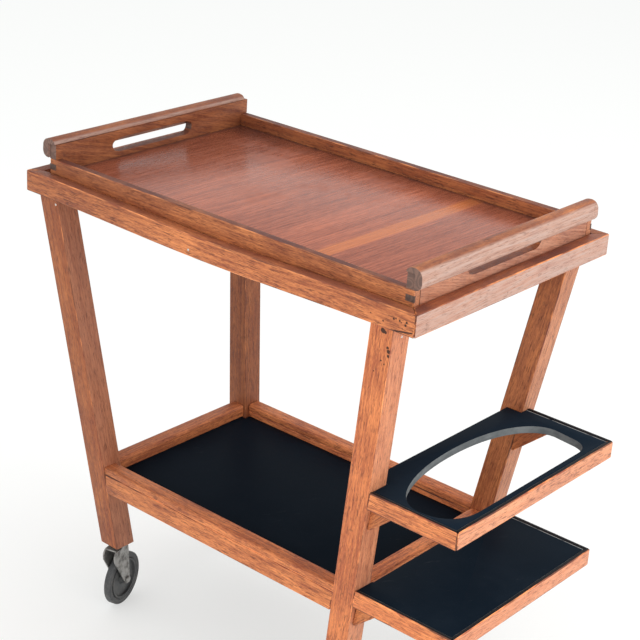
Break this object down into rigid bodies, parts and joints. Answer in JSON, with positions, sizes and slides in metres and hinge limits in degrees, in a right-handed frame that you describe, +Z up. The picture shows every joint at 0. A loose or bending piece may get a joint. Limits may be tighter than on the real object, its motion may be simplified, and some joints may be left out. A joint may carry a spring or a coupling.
{
  "type": "bar cart",
  "caption": "Wooden bar cart on swivel casters: lift-off serving tray on a mitred frame, leaning legs, lipped shelf, and end shelves for bottles.",
  "frame": {"origin": "on the floor, under the middle of the whole cart's box", "axes": "+Z up, +X towards the two side shelves, -Y the front"},
  "size_m": [0.716, 0.399, 0.6945],
  "materials": {
    "oak": "satin oiled",
    "pale_oak": "raw planed",
    "floor_veneer": "satin varnished veneer",
    "black_laminate": "satin laminate",
    "dark_steel": "dull plated steel",
    "wheel_disc": "matte",
    "rubber_tyre": "worn rubber"
  },
  "bodies": {
    "frame": {"front_top_rail": "oak", "rear_top_rail": "oak", "right_top_rail": "oak", "left_top_rail": "oak", "front_tray_bearer": "pale_oak", "rear_tray_bearer": "pale_oak", "front_left_leg": "oak", "front_right_leg": "oak", "rear_left_leg": "oak", "rear_right_leg": "oak", "front_shelf_rail": "oak", "rear_shelf_rail": "oak", "front_shelf_lip": "oak", "rear_shelf_lip": "oak", "left_shelf_lip": "oak", "right_shelf_lip": "oak", "left_shelf_batten": "pale_oak", "right_shelf_batten": "pale_oak", "shelf_panel": "black_laminate", "upper_side_panel": "black_laminate", "upper_side_front_strip": "oak", "upper_side_rear_strip": "oak", "upper_side_outer_strip": "oak", "upper_front_bracket": "oak", "upper_rear_bracket": "oak", "lower_side_panel": "black_laminate", "lower_side_front_strip": "oak", "lower_side_rear_strip": "oak", "lower_side_outer_strip": "oak", "lower_front_bracket": "oak", "lower_rear_bracket": "oak", "front_left_caster_stem": "dark_steel", "front_right_caster_stem": "dark_steel", "rear_left_caster_stem": "dark_steel", "rear_right_caster_stem": "dark_steel"},
    "tray": {"tray_front_side": "oak", "tray_rear_side": "oak", "tray_left_end_board": "oak", "tray_right_end_board": "oak", "tray_left_handle": "oak", "tray_right_handle": "oak", "tray_floor": "floor_veneer"},
    "front_left_swivel": {"front_left_caster_fork": "dark_steel", "front_left_caster_axle": "dark_steel"},
    "front_left_wheel": {"front_left_caster_disc": "wheel_disc", "front_left_caster_tyre": "rubber_tyre"},
    "front_right_swivel": {"front_right_caster_fork": "dark_steel", "front_right_caster_axle": "dark_steel"},
    "front_right_wheel": {"front_right_caster_disc": "wheel_disc", "front_right_caster_tyre": "rubber_tyre"},
    "rear_left_swivel": {"rear_left_caster_fork": "dark_steel", "rear_left_caster_axle": "dark_steel"},
    "rear_left_wheel": {"rear_left_caster_disc": "wheel_disc", "rear_left_caster_tyre": "rubber_tyre"},
    "rear_right_swivel": {"rear_right_caster_fork": "dark_steel", "rear_right_caster_axle": "dark_steel"},
    "rear_right_wheel": {"rear_right_caster_disc": "wheel_disc", "rear_right_caster_tyre": "rubber_tyre"}
  },
  "joints": [
    {"name": "tray_lift", "type": "slide", "parent": "frame", "child": "tray", "axis": [0, 0, 1], "range_m": [0, 0.15]},
    {"name": "front_left_caster_swivel", "type": "hinge", "parent": "frame", "child": "front_left_swivel", "pos_m": [-0.24532, -0.13217, 0.1], "axis": [0, 0, 1], "continuous": true},
    {"name": "front_left_wheel_spin", "type": "hinge", "parent": "front_left_swivel", "child": "front_left_wheel", "pos_m": [-0.24832, -0.12056, 0.0395], "axis": [0.9681, 0.2504, 0], "continuous": true},
    {"name": "front_right_caster_swivel", "type": "hinge", "parent": "frame", "child": "front_right_swivel", "pos_m": [0.17172, -0.13217, 0.1], "axis": [0, 0, 1], "continuous": true},
    {"name": "front_right_wheel_spin", "type": "hinge", "parent": "front_right_swivel", "child": "front_right_wheel", "pos_m": [0.16871, -0.12056, 0.0395], "axis": [0.9681, 0.2504, 0], "continuous": true},
    {"name": "rear_left_caster_swivel", "type": "hinge", "parent": "frame", "child": "rear_left_swivel", "pos_m": [-0.24532, 0.13217, 0.1], "axis": [0, 0, 1], "continuous": true},
    {"name": "rear_left_wheel_spin", "type": "hinge", "parent": "rear_left_swivel", "child": "rear_left_wheel", "pos_m": [-0.24832, 0.14379, 0.0395], "axis": [0.9681, 0.2504, 0], "continuous": true},
    {"name": "rear_right_caster_swivel", "type": "hinge", "parent": "frame", "child": "rear_right_swivel", "pos_m": [0.17172, 0.13217, 0.1], "axis": [0, 0, 1], "continuous": true},
    {"name": "rear_right_wheel_spin", "type": "hinge", "parent": "rear_right_swivel", "child": "rear_right_wheel", "pos_m": [0.16871, 0.14379, 0.0395], "axis": [0.9681, 0.2504, 0], "continuous": true}
  ]
}
